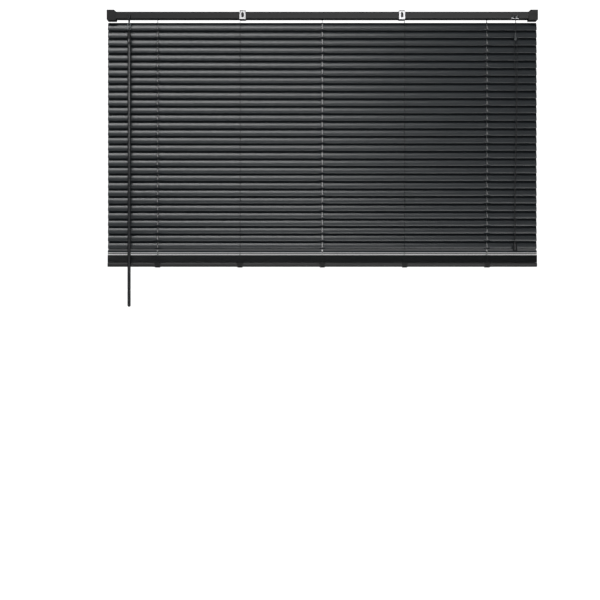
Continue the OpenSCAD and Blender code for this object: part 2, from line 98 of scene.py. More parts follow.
class BlindSlatSettings(bpy.types.PropertyGroup):
    width: bpy.props.FloatProperty(
        name="Slat width", description="Width of a slat across its chord",
        default=25 * MM, unit="LENGTH")
    crown: bpy.props.FloatProperty(
        name="Crown", description="Height of the slat's arch above its chord",
        default=1.9 * MM, unit="LENGTH")
    thickness: bpy.props.FloatProperty(
        name="Thickness", description="Thickness of the slat metal",
        default=0.25 * MM, unit="LENGTH")
    corner: bpy.props.FloatProperty(
        name="Corner radius", description="Rounding of the slat's corners",
        default=3 * MM, unit="LENGTH")
    tilt: bpy.props.FloatProperty(
        name="Tilt", description="Tilt of the open slats from level, front edge down",
        default=math.radians(70), subtype="ANGLE")
    flat_count: bpy.props.IntProperty(
        name="Flat slats", description="Slats that lie flat on the bottom rail", default=42)
    enamel: bpy.props.FloatVectorProperty(
        name="Slat enamel", description="Colour of the enamelled slats",
        default=(0.021, 0.0265, 0.031), subtype="COLOR")


class BlindRailSettings(bpy.types.PropertyGroup):
    enamel: bpy.props.FloatVectorProperty(
        name="Rail enamel", description="Colour of the head rail and the bottom rail",
        default=(0.0155, 0.0155, 0.016), subtype="COLOR")
    bracket: bpy.props.FloatVectorProperty(
        name="Bracket coat", description="Colour of the end brackets' powder coat",
        default=(0.0145, 0.0145, 0.015), subtype="COLOR")
    zinc: bpy.props.FloatVectorProperty(
        name="Zinc", description="Colour of the zinc-plated steel",
        default=(0.66, 0.66, 0.67), subtype="COLOR")
    edge_round: bpy.props.FloatProperty(
        name="Edge rounding", description="Rounding of pressed and moulded edges",
        default=0.25 * MM, unit="LENGTH")


class BlindCordSettings(bpy.types.PropertyGroup):
    strand: bpy.props.FloatProperty(
        name="Pull cord strand", description="Diameter of one strand of the pull cord",
        default=1.6 * MM, unit="LENGTH")
    lift: bpy.props.FloatProperty(
        name="Lift cord", description="Diameter of a lift cord", default=1.4 * MM, unit="LENGTH")
    string: bpy.props.FloatProperty(
        name="Ladder string", description="Diameter of a ladder's upright string",
        default=0.8 * MM, unit="LENGTH")
    rung: bpy.props.FloatProperty(
        name="Ladder rung", description="Diameter of a ladder's rung", default=0.5 * MM, unit="LENGTH")
    pull_colour: bpy.props.FloatVectorProperty(
        name="Pull cord colour", description="Colour of the hanging pull cord",
        default=(0.035, 0.036, 0.038), subtype="COLOR")
    lift_colour: bpy.props.FloatVectorProperty(
        name="Lift cord colour", description="Colour of the lift cords",
        default=(0.20, 0.21, 0.22), subtype="COLOR")
    string_colour: bpy.props.FloatVectorProperty(
        name="Ladder colour", description="Colour of the ladder strings and rungs",
        default=(0.040, 0.042, 0.045), subtype="COLOR")


class BlindStageSettings(bpy.types.PropertyGroup):
    camera_x: bpy.props.FloatProperty(
        name="Camera across", description="Camera's place along the width", default=-0.0621, unit="LENGTH")
    camera_z: bpy.props.FloatProperty(
        name="Camera height", description="Camera's height from the ceiling plane",
        default=-0.8080, unit="LENGTH")
    distance: bpy.props.FloatProperty(
        name="Camera distance", description="Distance from the camera to the blind's plane",
        default=4.2, unit="LENGTH")
    shown_width: bpy.props.FloatProperty(
        name="Shown width", description="Width of the blind's plane that the camera shows",
        default=1.6747, unit="LENGTH")
    floor: bpy.props.FloatVectorProperty(
        name="Floor", description="Colour of the floor and the backdrop",
        default=(0.90, 0.90, 0.90), subtype="COLOR")


def settings(kind):
    """The scene's settings of one kind: slats, rails, cords or stage."""
    return getattr(bpy.context.scene, "blind_" + kind)


# ---- Meshes from arrays ----

def make_piece(name, points, faces, materials, uv=None, smooth=True, face_material=None):
    """A mesh object at the origin from an array of points, lists of corners and a UV for each corner."""
    mesh = bpy.data.meshes.new(name)
    mesh.from_pydata(np.asarray(points).tolist(), [], [list(f) for f in faces])
    if uv is not None:
        layer = mesh.uv_layers.new(name="UVMap")
        layer.data.foreach_set("uv", np.asarray(uv, np.float32).ravel())
    mesh.polygons.foreach_set("use_smooth", np.full(len(mesh.polygons), smooth))
    for material in materials:
        mesh.materials.append(material)
    if face_material is not None:
        mesh.polygons.foreach_set("material_index", np.asarray(face_material, np.int32))
    mesh.update()
    piece = bpy.data.objects.new(name, mesh)
    bpy.context.scene.collection.objects.link(piece)
    return piece


def join_parts(parts):
    """Points, faces and corner UVs of several (points, faces, uv) parts as one."""
    points, faces, uvs, count = [], [], [], 0
    for part_points, part_faces, part_uv in parts:
        points.append(part_points)
        faces += [tuple(corner + count for corner in face) for face in part_faces]
        uvs.append(part_uv)
        count += len(part_points)
    return np.concatenate(points), faces, np.concatenate(uvs)


def grid_quads(rows, cols, wrap):
    """Rows and columns of each quad's corners. With wrap the last column is joined to the first."""
    row, col = np.meshgrid(np.arange(rows - 1), np.arange(cols if wrap else cols - 1), indexing="ij")
    corners_row = np.stack([row, row, row + 1, row + 1], -1).reshape(-1, 4)
    corners_col = np.stack([col, col + 1, col + 1, col], -1).reshape(-1, 4)
    return corners_row, corners_col


def tube(path, radius, sides, side_way, tips=True):
    """A round tube along a path.

    Each ring is path + radius * (cos(a) * across + sin(a) * out), where out is the path's direction crossed
    with side_way and across completes the right angle. The UV runs round in turns and along in metres."""
    path = np.asarray(path, float)
    ahead = np.gradient(path, axis=0)
    ahead /= np.linalg.norm(ahead, axis=1, keepdims=True)
    out = np.cross(ahead, np.asarray(side_way, float))
    out /= np.linalg.norm(out, axis=1, keepdims=True)
    across = np.cross(out, ahead)
    angle = np.arange(sides) * 2 * math.pi / sides
    radius = np.broadcast_to(np.asarray(radius, float), len(path))[:, None, None]
    cos, sin = np.cos(angle)[:, None], np.sin(angle)[:, None]
    rings = path[:, None] + radius * (cos * across[:, None] + sin * out[:, None])
    rows, cols = grid_quads(len(path), sides, True)
    faces = (rows * sides + cols % sides)[:, ::-1]
    along = np.concatenate([[0], np.cumsum(np.linalg.norm(np.diff(path, axis=0), axis=1))])
    uv = np.stack([cols / sides, along[rows]], -1)[:, ::-1].reshape(-1, 2)
    faces = [tuple(f) for f in faces.tolist()]
    if tips:
        last = (len(path) - 1) * sides
        faces += [tuple(range(sides)), tuple(range(last + sides - 1, last - 1, -1))]
        uv = np.concatenate([uv, np.zeros((sides, 2)), np.tile([0, along[-1]], (sides, 1))])
    return rings.reshape(-1, 3), faces, uv


def revolved(profile, centre, sides):
    """A surface turned about the vertical through centre, from (radius, height) rows, low to high."""
    profile = np.asarray(profile, float)
    angle = np.arange(sides) * 2 * math.pi / sides
    points = np.stack([
        centre[0] + profile[:, :1] * np.cos(angle),
        centre[1] + profile[:, :1] * np.sin(angle),
        np.repeat(profile[:, 1:], sides, axis=1)], -1)
    rows, cols = grid_quads(len(profile), sides, True)
    faces = [tuple(f) for f in (rows * sides + cols % sides).tolist()]
    last = (len(profile) - 1) * sides
    faces += [tuple(range(sides - 1, -1, -1)), tuple(range(last, last + sides))]
    height = profile[rows, 1]
    uv = np.concatenate([np.stack([cols / sides, height], -1).reshape(-1, 2), np.zeros((2 * sides, 2))])
    return points.reshape(-1, 3), faces, uv


def curve_through(points, spacing):
    """A smooth line through points: a Catmull-Rom curve, sampled about spacing apart."""
    points = np.asarray(points, float)
    ends = np.concatenate([[2 * points[0] - points[1]], points, [2 * points[-1] - points[-2]]])
    p0, p1, p2, p3 = ends[:-3], ends[1:-2], ends[2:-1], ends[3:]
    steps = max(2, int(round(np.linalg.norm(np.diff(points, axis=0), axis=1).mean() / spacing)))
    t = (np.arange(steps) / steps)[None, :, None]
    p0, p1, p2, p3 = (p[:, None] for p in (p0, p1, p2, p3))
    line = 0.5 * (2 * p1 + (p2 - p0) * t + (2 * p0 - 5 * p1 + 4 * p2 - p3) * t ** 2
                  + (3 * p1 - p0 - 3 * p2 + p3) * t ** 3)
    return np.concatenate([line.reshape(-1, 3), points[-1:]])


def dressed(node, materials, rounding=None, angle=35):
    """A finished copy of a hard CAD part: triangles merged, flat faces joined and edges rounded."""
    source = frame["nodes"][node]
    mesh = source.data.copy()
    mesh.name = node + "_finished"
    shape = bmesh.new()
    shape.from_mesh(mesh)
    bmesh.ops.remove_doubles(shape, verts=shape.verts, dist=2e-6)
    bmesh.ops.dissolve_limit(shape, angle_limit=math.radians(0.5), verts=shape.verts, edges=shape.edges)
    for face in shape.faces:
        face.smooth = True
        face.material_index = 0
    sharp = math.radians(angle)
    for edge in shape.edges:
        edge.smooth = len(edge.link_faces) == 2 and edge.calc_face_angle(0) < sharp
    shape.to_mesh(mesh)
    shape.free()
    mesh.materials.clear()
    for material in materials:
        mesh.materials.append(material)
    piece = bpy.data.objects.new(node + "_finished", mesh)
    bpy.context.scene.collection.objects.link(piece)
    bevel = piece.modifiers.new("Rounded edges", "BEVEL")
    bevel.width = rounding or settings("rails").edge_round
    bevel.segments = 2
    bevel.limit_method = "ANGLE"
    bevel.angle_limit = sharp
    bevel.use_clamp_overlap = True
    bevel.harden_normals = True
    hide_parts(node)
    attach(piece, source["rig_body"])
    return piece


# ---- Finishes ----

class Finish:
    """A material being made: its node tree, its main shader and short ways to add nodes."""

    def __init__(self, name, roughness=0.5, metallic=0.0, **fixed):
        self.material = bpy.data.materials.new(name)
        self.material.use_nodes = True
        self.tree = self.material.node_tree
        self.shader = self.tree.nodes["Principled BSDF"]
        self.shader.inputs["Roughness"].default_value = roughness
        self.shader.inputs["Metallic"].default_value = metallic
        for socket, value in fixed.items():
            self.shader.inputs[socket.replace("_", " ")].default_value = value

    def add(self, kind, **values):
        """A new node. Values that name an input socket set it, and the rest set the node's own settings."""
        made = self.tree.nodes.new(kind)
        for key, value in values.items():
            if key in made.inputs:
                made.inputs[key].default_value = value
            else:
                setattr(made, key, value)
        return made

    def link(self, output, socket):
        self.tree.links.new(output, socket)

    def coords(self, scale=(1, 1, 1), output="Object"):
        """Object or UV coordinates, stretched by scale."""
        source = self.add("ShaderNodeTexCoord")
        mapping = self.add("ShaderNodeMapping")
        mapping.inputs["Scale"].default_value = scale
        self.link(source.outputs[output], mapping.inputs["Vector"])
        return mapping.outputs["Vector"]

    def noise(self, vector, scale, detail=3.0, rough=0.5):
        made = self.add("ShaderNodeTexNoise", Scale=scale, Detail=detail, Roughness=rough)
        self.link(vector, made.inputs["Vector"])
        return made.outputs["Fac"]

    def ramp(self, factor, stops):
        """A colour or grey ramp through (place, colour) stops."""
        made = self.add("ShaderNodeValToRGB")
        elements = made.color_ramp.elements
        while len(elements) < len(stops):
            elements.new(0.5)
        for element, (place, colour) in zip(elements, stops):
            element.position = place
            element.color = (*colour, 1) if len(colour) == 3 else colour
        self.link(factor, made.inputs["Fac"])
        return made.outputs["Color"]

    def shades(self, factor, colour, low, high, ends=(0.3, 0.7)):
        """The colour from low times itself to high times itself, as factor goes between the two ends."""
        dark = tuple(channel * low for channel in colour)
        light = tuple(min(1.0, channel * high) for channel in colour)
        return self.ramp(factor, [(ends[0], dark), (ends[1], light)])

    def spread(self, factor, low, high):
        """A number that goes from low to high as factor goes from 0 to 1."""
        made = self.add("ShaderNodeMapRange")
        made.inputs["To Min"].default_value = low
        made.inputs["To Max"].default_value = high
        self.link(factor, made.inputs["Value"])
        return made.outputs["Result"]

    def sum(self, first, second, share):
        """first + share * second."""
        made = self.add("ShaderNodeMath", operation="MULTIPLY_ADD")
        made.inputs[1].default_value = share
        self.link(second, made.inputs[0])
        self.link(first, made.inputs[2])
        return made.outputs["Value"]

    def bump(self, height, distance, strength=1.0):
        made = self.add("ShaderNodeBump")
        made.inputs["Strength"].default_value = strength
        made.inputs["Distance"].default_value = distance
        self.link(height, made.inputs["Height"])
        self.link(made.outputs["Normal"], self.shader.inputs["Normal"])

    def paint(self, colour=None, roughness=None):
        if colour is not None:
            self.link(colour, self.shader.inputs["Base Color"])
        if roughness is not None:
            self.link(roughness, self.shader.inputs["Roughness"])


def slat_enamel():
    """Coil-coated enamel: a satin film with fine rolling streaks along the slat and a soft orange peel."""
    made = Finish("slat_enamel", roughness=0.3, Specular_IOR_Level=0.6,
                  Coat_Weight=0.15, Coat_Roughness=0.2)
    streaks = made.noise(made.coords((1.2, 900, 900)), 1.0, detail=3)
    patches = made.noise(made.coords((9, 60, 60)), 1.0, detail=2)
    mottle = made.sum(patches, streaks, 0.35)
    made.paint(made.shades(mottle, settings("slats").enamel, 0.92, 1.09, (0.4, 0.95)),
               made.spread(streaks, 0.27, 0.33))
    peel = made.noise(made.coords((240, 240, 240)), 3.0, detail=1)
    made.bump(made.sum(peel, streaks, 0.5), 0.00001, 0.35)
    return made.material


def slat_edge():
    """The slit edge of a slat: a thin enamel, worn so that a little metal shows, and painted darker than the
    slat's face as painted shade, so that the edges of the stacked slats read black.
    """
    made = Finish("slat_edge_painted_shade", roughness=0.5, metallic=0.2)
    wear = made.noise(made.coords((60, 3000, 3000)), 1.0)
    # Painted shade: both edge colours are darker than the slat's enamel, so the stacked slats' edges read as
    # if in shadow; the noise adds wear.
    made.paint(made.ramp(wear, [(0.45, (0.005, 0.0055, 0.006)), (0.8, (0.02, 0.021, 0.022))]),
               made.spread(wear, 0.6, 0.4))
    return made.material


def rail_enamel():
    """Roll-formed steel with a satin enamel: long faint drawing lines and a fine orange peel."""
    made = Finish("rail_enamel", roughness=0.42, Specular_IOR_Level=0.5)
    lines = made.noise(made.coords((1.5, 420, 420)), 1.0, detail=4)
    cloud = made.noise(made.coords((14, 70, 70)), 1.0, detail=3)
    made.paint(made.shades(made.sum(cloud, lines, 0.3), settings("rails").enamel, 0.9, 1.12, (0.4, 0.95)),
               made.spread(lines, 0.38, 0.48))
    peel = made.noise(made.coords((1, 1, 1)), 1100, detail=2)
    made.bump(made.sum(peel, lines, 0.4), 0.00002, 0.4)
    return made.material


def powder_coat():
    """Baked powder on pressed steel: a fine even grain, a little worn where hands have rubbed it."""
    made = Finish("bracket_powder_coat", roughness=0.5, Specular_IOR_Level=0.45)
    grain = made.noise(made.coords(), 1500, detail=2)
    rub = made.noise(made.coords(), 90, detail=4, rough=0.65)
    made.paint(made.shades(rub, settings("rails").bracket, 0.85, 1.25, (0.35, 0.75)),
               made.spread(rub, 0.56, 0.40))
    made.bump(grain, 0.00004, 0.5)
    return made.material


def zinc_plate():
    """Bright zinc on pressed steel: brushed lines and a cloudy bloom that dulls it in places."""
    made = Finish("zinc_plate", roughness=0.34, metallic=0.9)
    brushed = made.noise(made.coords((900, 120, 60)), 1.0, detail=3)
    bloom = made.noise(made.coords(), 160, detail=3, rough=0.6)
    made.paint(made.shades(bloom, settings("rails").zinc, 0.84, 1.06), made.spread(bloom, 0.27, 0.44))
    made.bump(brushed, 0.00001, 0.4)
    return made.material


def moulded(name, colour, roughness=0.45, grain=900, **fixed):
    """Moulded plastic: a fine spark-eroded grain and slow flow marks in its colour."""
    made = Finish(name, roughness=roughness, **fixed)
    flow = made.noise(made.coords((1, 1, 0.5)), 60, detail=3)
    fine = made.noise(made.coords(), grain, detail=2)
    made.paint(made.shades(flow, colour, 0.88, 1.1),
               made.spread(flow, roughness + 0.05, roughness - 0.05))
    made.bump(fine, 0.00003, 0.35)
    return made.material


def clear_wand():
    """Smoked acrylic: glossy, a little clear, with faint lines drawn along the rod."""
    made = Finish("smoked_wand", roughness=0.18, Coat_Weight=0.4, Coat_Roughness=0.12,
                  Transmission_Weight=0.12, IOR=1.49)
    drawn = made.noise(made.coords((700, 700, 6)), 1.0, detail=3)
    made.paint(made.shades(drawn, (0.045, 0.047, 0.051), 0.85, 1.2), made.spread(drawn, 0.14, 0.26))
    made.bump(drawn, 0.00003, 0.3)
    return made.material


def braid(name, colour, strands, pitch, depth):
    """Braided cord: two sets of yarns that wind opposite ways round the cord, one over the other.

    The height is the larger of two sine waves of strands * turn plus and minus length / pitch. The colour is
    painted darker where the height is low, as painted shade in the grooves between the yarns, with a fine
    fuzz of random tone."""
    made = Finish(name, roughness=0.8, Sheen_Weight=0.25, Sheen_Roughness=0.5, Specular_IOR_Level=0.25)
    split = made.add("ShaderNodeSeparateXYZ")
    made.link(made.coords((2 * math.pi * strands, 2 * math.pi / pitch, 1), "UV"), split.inputs["Vector"])
    waves = []
    for operation in ("ADD", "SUBTRACT"):
        phase = made.add("ShaderNodeMath", operation=operation)
        wave = made.add("ShaderNodeMath", operation="SINE")
        made.link(split.outputs["X"], phase.inputs[0])
        made.link(split.outputs["Y"], phase.inputs[1])
        made.link(phase.outputs["Value"], wave.inputs[0])
        waves.append(wave.outputs["Value"])
    over = made.add("ShaderNodeMath", operation="MAXIMUM")
    made.link(waves[0], over.inputs[0])
    made.link(waves[1], over.inputs[1])
    fuzz = made.noise(made.coords(), 2500, detail=2)
    height = made.sum(over.outputs["Value"], fuzz, 0.5)
    # Painted shade: the colour darkens where the height is low, in the grooves between the yarns; the fuzz
    # adds random tone.
    made.paint(made.shades(height, colour, 0.6, 1.2, (0.0, 0.8)))
    made.bump(over.outputs["Value"], depth, 0.8)
    return made.material


def twisted(name, colour):
    """Twisted ladder string: one set of yarns that winds round the string, its colour painted darker in the
    grooves between the yarns as painted shade.
    """
    made = Finish(name, roughness=0.85, Sheen_Weight=0.2, Specular_IOR_Level=0.2)
    split = made.add("ShaderNodeSeparateXYZ")
    made.link(made.coords((2 * math.pi * 3, 2 * math.pi / 0.0018, 1), "UV"), split.inputs["Vector"])
    phase = made.add("ShaderNodeMath", operation="ADD")
    wave = made.add("ShaderNodeMath", operation="SINE")
    made.link(split.outputs["X"], phase.inputs[0])
    made.link(split.outputs["Y"], phase.inputs[1])
    made.link(phase.outputs["Value"], wave.inputs[0])
    # Painted shade: the colour darkens where the wave is low, in the grooves between the yarns.
    made.paint(made.shades(wave.outputs["Value"], colour, 0.7, 1.15, (0.0, 0.9)))
    made.bump(wave.outputs["Value"], 0.0001, 0.7)
    return made.material


FINISHES = {}


def finish(name):
    """The material of that name, made once."""
    cords = settings("cords")
    makers = {
        "slat": slat_enamel,
        "slat edge": slat_edge,
        "rail": rail_enamel,
        "bracket": powder_coat,
        "zinc": zinc_plate,
        "dark plastic": lambda: moulded("dark_plastic", (0.022, 0.023, 0.025)),
        "pale plastic": lambda: moulded(
            "pale_plastic", (0.42, 0.47, 0.48), 0.28, 500, Transmission_Weight=0.15, Coat_Weight=0.2),
        "clip plastic": lambda: moulded("clip_plastic", (0.0045, 0.0045, 0.005), 0.5),
        "smoked plastic": lambda: moulded(
            "smoked_plastic", (0.12, 0.13, 0.135), 0.2, 500, Transmission_Weight=0.25, Coat_Weight=0.5),
        "grey plastic": lambda: moulded("grey_plastic", (0.20, 0.215, 0.22), 0.34, 600, Coat_Weight=0.1),
        "tassel": lambda: moulded("tassel_plastic", (0.030, 0.031, 0.033), 0.36),
        "wand": clear_wand,
        "pull cord": lambda: braid("pull_cord_braid", cords.pull_colour, 8, 0.0026, 0.00012),
        "lift cord": lambda: braid("lift_cord_braid", cords.lift_colour, 8, 0.0022, 0.0001),
        "string": lambda: twisted("ladder_string", cords.string_colour),
    }
    if name not in FINISHES:
        FINISHES[name] = makers[name]()
    return FINISHES[name]


# ---- Places worked out from the frame ----

def slat_places():
    """(name, height, tilt) of every open slat, top to bottom."""
    tilt = settings("slats").tilt
    return [(name, JOINTS[name + "_turn"]["pos_m"][2], tilt) for name in OPEN_SLATS]


def pack_places():
    """(height, tilt) of the slats stacked on the bottom rail: two loose ones, then the flat ones."""
    count = settings("slats").flat_count
    top = LAST_SLAT_Z - FLAT_TOP_DROP
    loose = [(LAST_SLAT_Z - drop, math.radians(tilt)) for drop, tilt in LOOSE_SLATS]
    return loose + [(top - FLAT_STEP * i, 0.0) for i in range(count)]


def ladder_places():
    """X of the five ladders, from the front strings' own node, in from its ends by a string's radius."""
    co = np.array([v.co.x for v in frame["nodes"]["ladder_strings_front"].data.vertices])
    string_radius = 0.4 * MM
    low, high = co.min() + string_radius, co.max() - string_radius
    return np.linspace(low, high, 5)


def crown_radius():
    """Radius of the slat's arch, from its chord and its height."""
    s = settings("slats")
    return (s.width ** 2 / 4 + s.crown ** 2) / (2 * s.crown)


def crown_height(y):
    """Height of the slat's upper face over its chord at y."""
    radius = crown_radius()
    return settings("slats").crown - radius + np.sqrt(np.maximum(radius ** 2 - y ** 2, 0))


def slat_turned(points, z, tilt):
    """Points of a level slat turned about X by its tilt and set at its height."""
    c, s = math.cos(tilt), math.sin(tilt)
    x, y, h = points[:, 0], points[:, 1], points[:, 2]
    return np.stack([x, y * c - h * s, z + y * s + h * c], -1)


# ---- Slats ----

def slat_outline_half(distance, half, corner):
    """Half the slat's width at a distance from its end: a quarter circle, then the full width."""
    inside = np.clip(corner - distance, 0, corner)
    return half - corner + np.sqrt(np.maximum(corner ** 2 - inside ** 2, 0))


def slot_reach(angle, half_straight, radius):
    """Distance from a slot's middle to its edge along a direction, for a slot whose long way is Y."""
    dx, dy = np.cos(angle), np.sin(angle)
    side = radius / np.maximum(np.abs(dx), 1e-9)
    along = half_straight * np.abs(dy)
    cap = along + np.sqrt(np.maximum(along ** 2 - half_straight ** 2 + radius ** 2, 0))
    return np.where(side * np.abs(dy) <= half_straight, side, cap)


def slat_plane():
    """Points and quads of a slat laid out flat: plain grid runs, and a ring grid round each rout hole.

    In a run, y is the half width at that x times a share from -1 to 1. Round a hole, each ring lies between
    the hole's edge and the patch's border, at growing shares of the way."""
    s = settings("slats")
    half, end = s.width / 2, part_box("slat_01")[1].x
    shares = np.linspace(-1, 1, 11)
    patch = 9 * MM
    spread = np.linspace(-1, 1, 11)[1:-1]
    top_x = patch * np.sign(spread) * np.abs(spread) ** 1.5
    holes = ladder_places()[LIFT_LADDERS]
    points, quads, count = [], [], 0
    starts = np.concatenate([[-end], holes + patch])
    stops = np.concatenate([holes - patch, [end]])
    near_end = np.array([0, 0.15, 0.5, 1.1, 2.0, 3.2, 5.0]) * MM
    for start, stop in zip(starts, stops):
        inner_start = start + 5.5 * MM if start == -end else start
        inner_stop = stop - 5.5 * MM if stop == end else stop
        x = np.linspace(inner_start, inner_stop, 12)
        if start == -end:
            x = np.concatenate([start + near_end, x])
        if stop == end:
            x = np.concatenate([x, stop - near_end[::-1]])
        width = slat_outline_half(np.minimum(x + end, end - x), half, s.corner)
        rows, cols = grid_quads(len(x), len(shares), False)
        points.append(np.stack([np.repeat(x, len(shares)), (width[:, None] * shares).ravel()], -1))
        quads.append((rows * len(shares) + cols)[:, ::-1] + count)
        count += len(x) * len(shares)
    low, high = np.full(len(top_x), -half), np.full(len(top_x), half)
    border = np.concatenate([
        np.stack([np.full(len(shares), -patch), half * shares[::-1]], -1),
        np.stack([top_x, low], -1),
        np.stack([np.full(len(shares), patch), half * shares], -1),
        np.stack([top_x[::-1], high], -1)])
    angle = np.arctan2(border[:, 1], border[:, 0])
    reach = slot_reach(angle, ROUT_HALF_STRAIGHT, ROUT_RADIUS)
    edge = np.stack([reach * np.cos(angle), reach * np.sin(angle)], -1)
    rings = np.array([0, 0.12, 0.4, 1])[:, None, None]
    ring_points = edge * (1 - rings) + border * rings
    rows, cols = grid_quads(len(rings), len(border), True)
    for hole in holes:
        points.append((ring_points + [hole, 0]).reshape(-1, 2))
        quads.append((rows * len(border) + cols % len(border))[:, ::-1] + count)
        count += len(rings) * len(border)
    points, quads = np.concatenate(points), np.concatenate(quads)
    first, index = np.unique(np.round(points, 7), axis=0, return_index=True, return_inverse=True)[1:]
    return points[first], index.reshape(-1)[quads]


def slat_piece(name, plane, z, tilt, seed):
    """One slat: the plane's points lifted onto the crown's arc, with a slow ripple of up to 0.03 mm."""
    flat, quads = plane
    s = settings("slats")
    phase = np.random.default_rng(seed).uniform(0, 2 * math.pi, 3)
    ripple = 0.015 * MM * (np.sin(flat[:, 0] * 9 + phase[0]) + np.sin(flat[:, 0] * 23 + phase[1]))
    points = np.column_stack([flat, crown_height(flat[:, 1]) + ripple])
    uv = (flat[quads] / s.width).reshape(-1, 2)
    piece = make_piece(name, slat_turned(points, z, tilt), quads.tolist(),
                       [finish("slat"), finish("slat edge")], uv)
    wall = piece.modifiers.new("Metal", "SOLIDIFY")
    wall.thickness = s.thickness
    wall.offset = -1
    wall.material_offset_rim = 1
    wall.use_even_offset = True
    return piece


class BLIND_OT_open_slats(bpy.types.Operator):
    """Make the slats that hang open on the ladders"""
    bl_idname = "blind.open_slats"
    bl_label = "Open slats"

    def execute(self, context):
        plane = slat_plane()
        for index, (name, z, tilt) in enumerate(slat_places()):
            piece = slat_piece(name + "_blade", plane, z, tilt, index)
            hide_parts(name)
            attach(piece, name)
        return {"FINISHED"}


class BLIND_OT_stacked_slats(bpy.types.Operator):
    """Make the slats stacked on the bottom rail"""
    bl_idname = "blind.stacked_slats"
    bl_label = "Stacked slats"

    def execute(self, context):
        plane = slat_plane()
        places = pack_places()
        rail_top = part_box("bottom_rail")[1].z
        spread_pitch = (LAST_SLAT_Z - (rail_top - LIFT_TRAVEL)) / (len(places) + 1)
        for index, (z, tilt) in enumerate(places):
            piece = slat_piece(f"stacked_slat_{index + 1:02d}", plane, z, tilt, 100 + index)
            lowered = LAST_SLAT_Z - spread_pitch * (index + 1)
            follow_rail(piece, (z - lowered) / LIFT_TRAVEL)
            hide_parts("slat_stack")
        return {"FINISHED"}


def follow_rail(piece, share):
    """The share, clamped to 0 to 1, is not used: the piece does not go down with the bottom rail.

    It only bakes the piece's transform into its mesh."""
    share = min(max(share, 0.0), 1.0)
    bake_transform(piece)


# ---- Ladders and lift cords ----

def rung_path(over):
    """A rung's line in a level slat's frame: along the slat's face, and at both ends to the upright strings.

    It is the face's height times (1 - s^8) plus a straight line times s^8, with s the share of its reach."""
    s, cords = settings("slats"), settings("cords")
    share = np.linspace(-1, 1, 13)
    reach, lift = 13 * MM, 0.7 * MM
    y = reach * share
    clear = cords.rung / 2 + 0.03 * MM
    face = crown_height(np.clip(y, -s.width / 2, s.width / 2))
    face = face + clear if over else face - s.thickness - clear
    near = share ** 8
    return np.stack([y, face * (1 - near) - lift * share * near], -1)


class BLIND_OT_ladders(bpy.types.Operator):
    """Make the ladders: upright strings front and back, and two rungs round each open slat"""
    bl_idname = "blind.ladders"
    bl_label = "Ladders"

    def execute(self, context):
        cords = settings("cords")
        self.upright_strings("ladder_strings_front", "ladder_front", -1)
        self.upright_strings("ladder_strings_back", "ladder_back", 1)
        for name, z, tilt in slat_places():
            parts = []
            for x in ladder_places():
                for side in (-1, 1):
                    line = rung_path(side > 0)
                    path = np.column_stack([np.full(len(line), x + side * 1.2 * MM), line])
                    path[[0, -1], 0] = x
                    points, faces, uv = tube(path, cords.rung / 2, 6, (1, 0, 0))
                    parts.append((slat_turned(points, z, tilt), faces, uv))
            points, faces, uv = join_parts(parts)
            rungs = make_piece(name.replace("slat", "ladder_rungs"), points, faces, [finish("string")], uv)
            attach(rungs, name)
        return {"FINISHED"}

    def upright_strings(self, node, body, side):
        """The straight strings, their slack lengths beside the stack, and their tops at the drums."""
        radius = settings("cords").string / 2
        low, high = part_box(node)
        y = (low.y + high.y) / 2
        rail_low, rail_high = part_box("bottom_rail")
        rod_low, rod_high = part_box("tilt_rod")
        rod_z = (rod_low.z + rod_high.z) / 2
        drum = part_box("ladder_drums")[1].y + radius
        straight, slack, tops = [], [], []
        for x in ladder_places():
            z = np.linspace(low.z - 3 * MM, high.z, 60)
            path = np.column_stack([np.full(len(z), x), np.full(len(z), y), z])
            straight.append(tube(path, radius, 8, (1, 0, 0)))
            out = side * (rail_high.y + radius)
            fall = np.array([[x, y, low.z], [x, y * 1.25, low.z - 3 * MM], [x, out * 0.95, low.z - 8 * MM],
                             [x, out * 1.06, rail_high.z + 14 * MM], [x, out * 1.09, rail_high.z + 6 * MM],
                             [x, out * 1.01, rail_high.z], [x, out, rail_low.z + 2 * MM],
                             [x, out * 0.86, rail_low.z - 0.1 * MM], [x, out * 0.5, rail_low.z - 0.3 * MM]])
            slack.append(tube(curve_through(fall, 1.2 * MM), radius, 6, (1, 0, 0)))
            wrap = np.linspace(0, 1, 12)[:, None]
            start = np.array([x, side * drum, rod_z])
            top = start + (np.array([x, y, high.z]) - start) * wrap
            tops.append(tube(top, radius, 8, (1, 0, 0)))
        for name, parts in (("straight", straight), ("slack", slack), ("tops", tops)):
            points, faces, uv = join_parts(parts)
            piece = make_piece(f"{node}_{name}", points, faces, [finish("string")], uv)
            if name == "straight":
                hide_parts(node)
                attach(piece, body)
            elif name == "slack":
                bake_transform(piece)
            else:
                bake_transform(piece)


class BLIND_OT_lift_cords(bpy.types.Operator):
    """Make the three lift cords, from the bottom rail up through the slats and along the head rail"""
    bl_idname = "blind.lift_cords"
    bl_label = "Lift cords"

    def execute(self, context):
        radius = settings("cords").lift / 2
        low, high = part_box("lift_cords")
        run_z = high.z - 1.15 * radius
        bend_radius = 3 * MM
        ends_y = np.array([-3.6, -1.9, 1.6]) * MM
        for index, x in enumerate(ladder_places()[LIFT_LADDERS]):
            z = np.linspace(low.z, run_z - bend_radius, 160)
            upright = np.column_stack([np.full(len(z), x), np.zeros(len(z)), z])
            turn = np.linspace(0, math.pi / 2, 9)[1:-1]
            bend = np.column_stack([x + bend_radius * (1 - np.cos(turn)), np.zeros(len(turn)),
                                    run_z - bend_radius * (1 - np.sin(turn))])
            share = np.linspace(0, 1, 60)
            run = np.column_stack([x + bend_radius + (high.x - x - bend_radius) * share,
                                   ends_y[index] * share, np.full(len(share), run_z)])
            points, faces, uv = tube(np.concatenate([upright, bend, run]), radius, 10, (0, 1, 0))
            cord = make_piece(f"lift_cord_{index + 1}", points, faces, [finish("lift cord")], uv)
            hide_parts("lift_cords")
            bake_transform(cord)
        return {"FINISHED"}


# ---- Pull cord ----

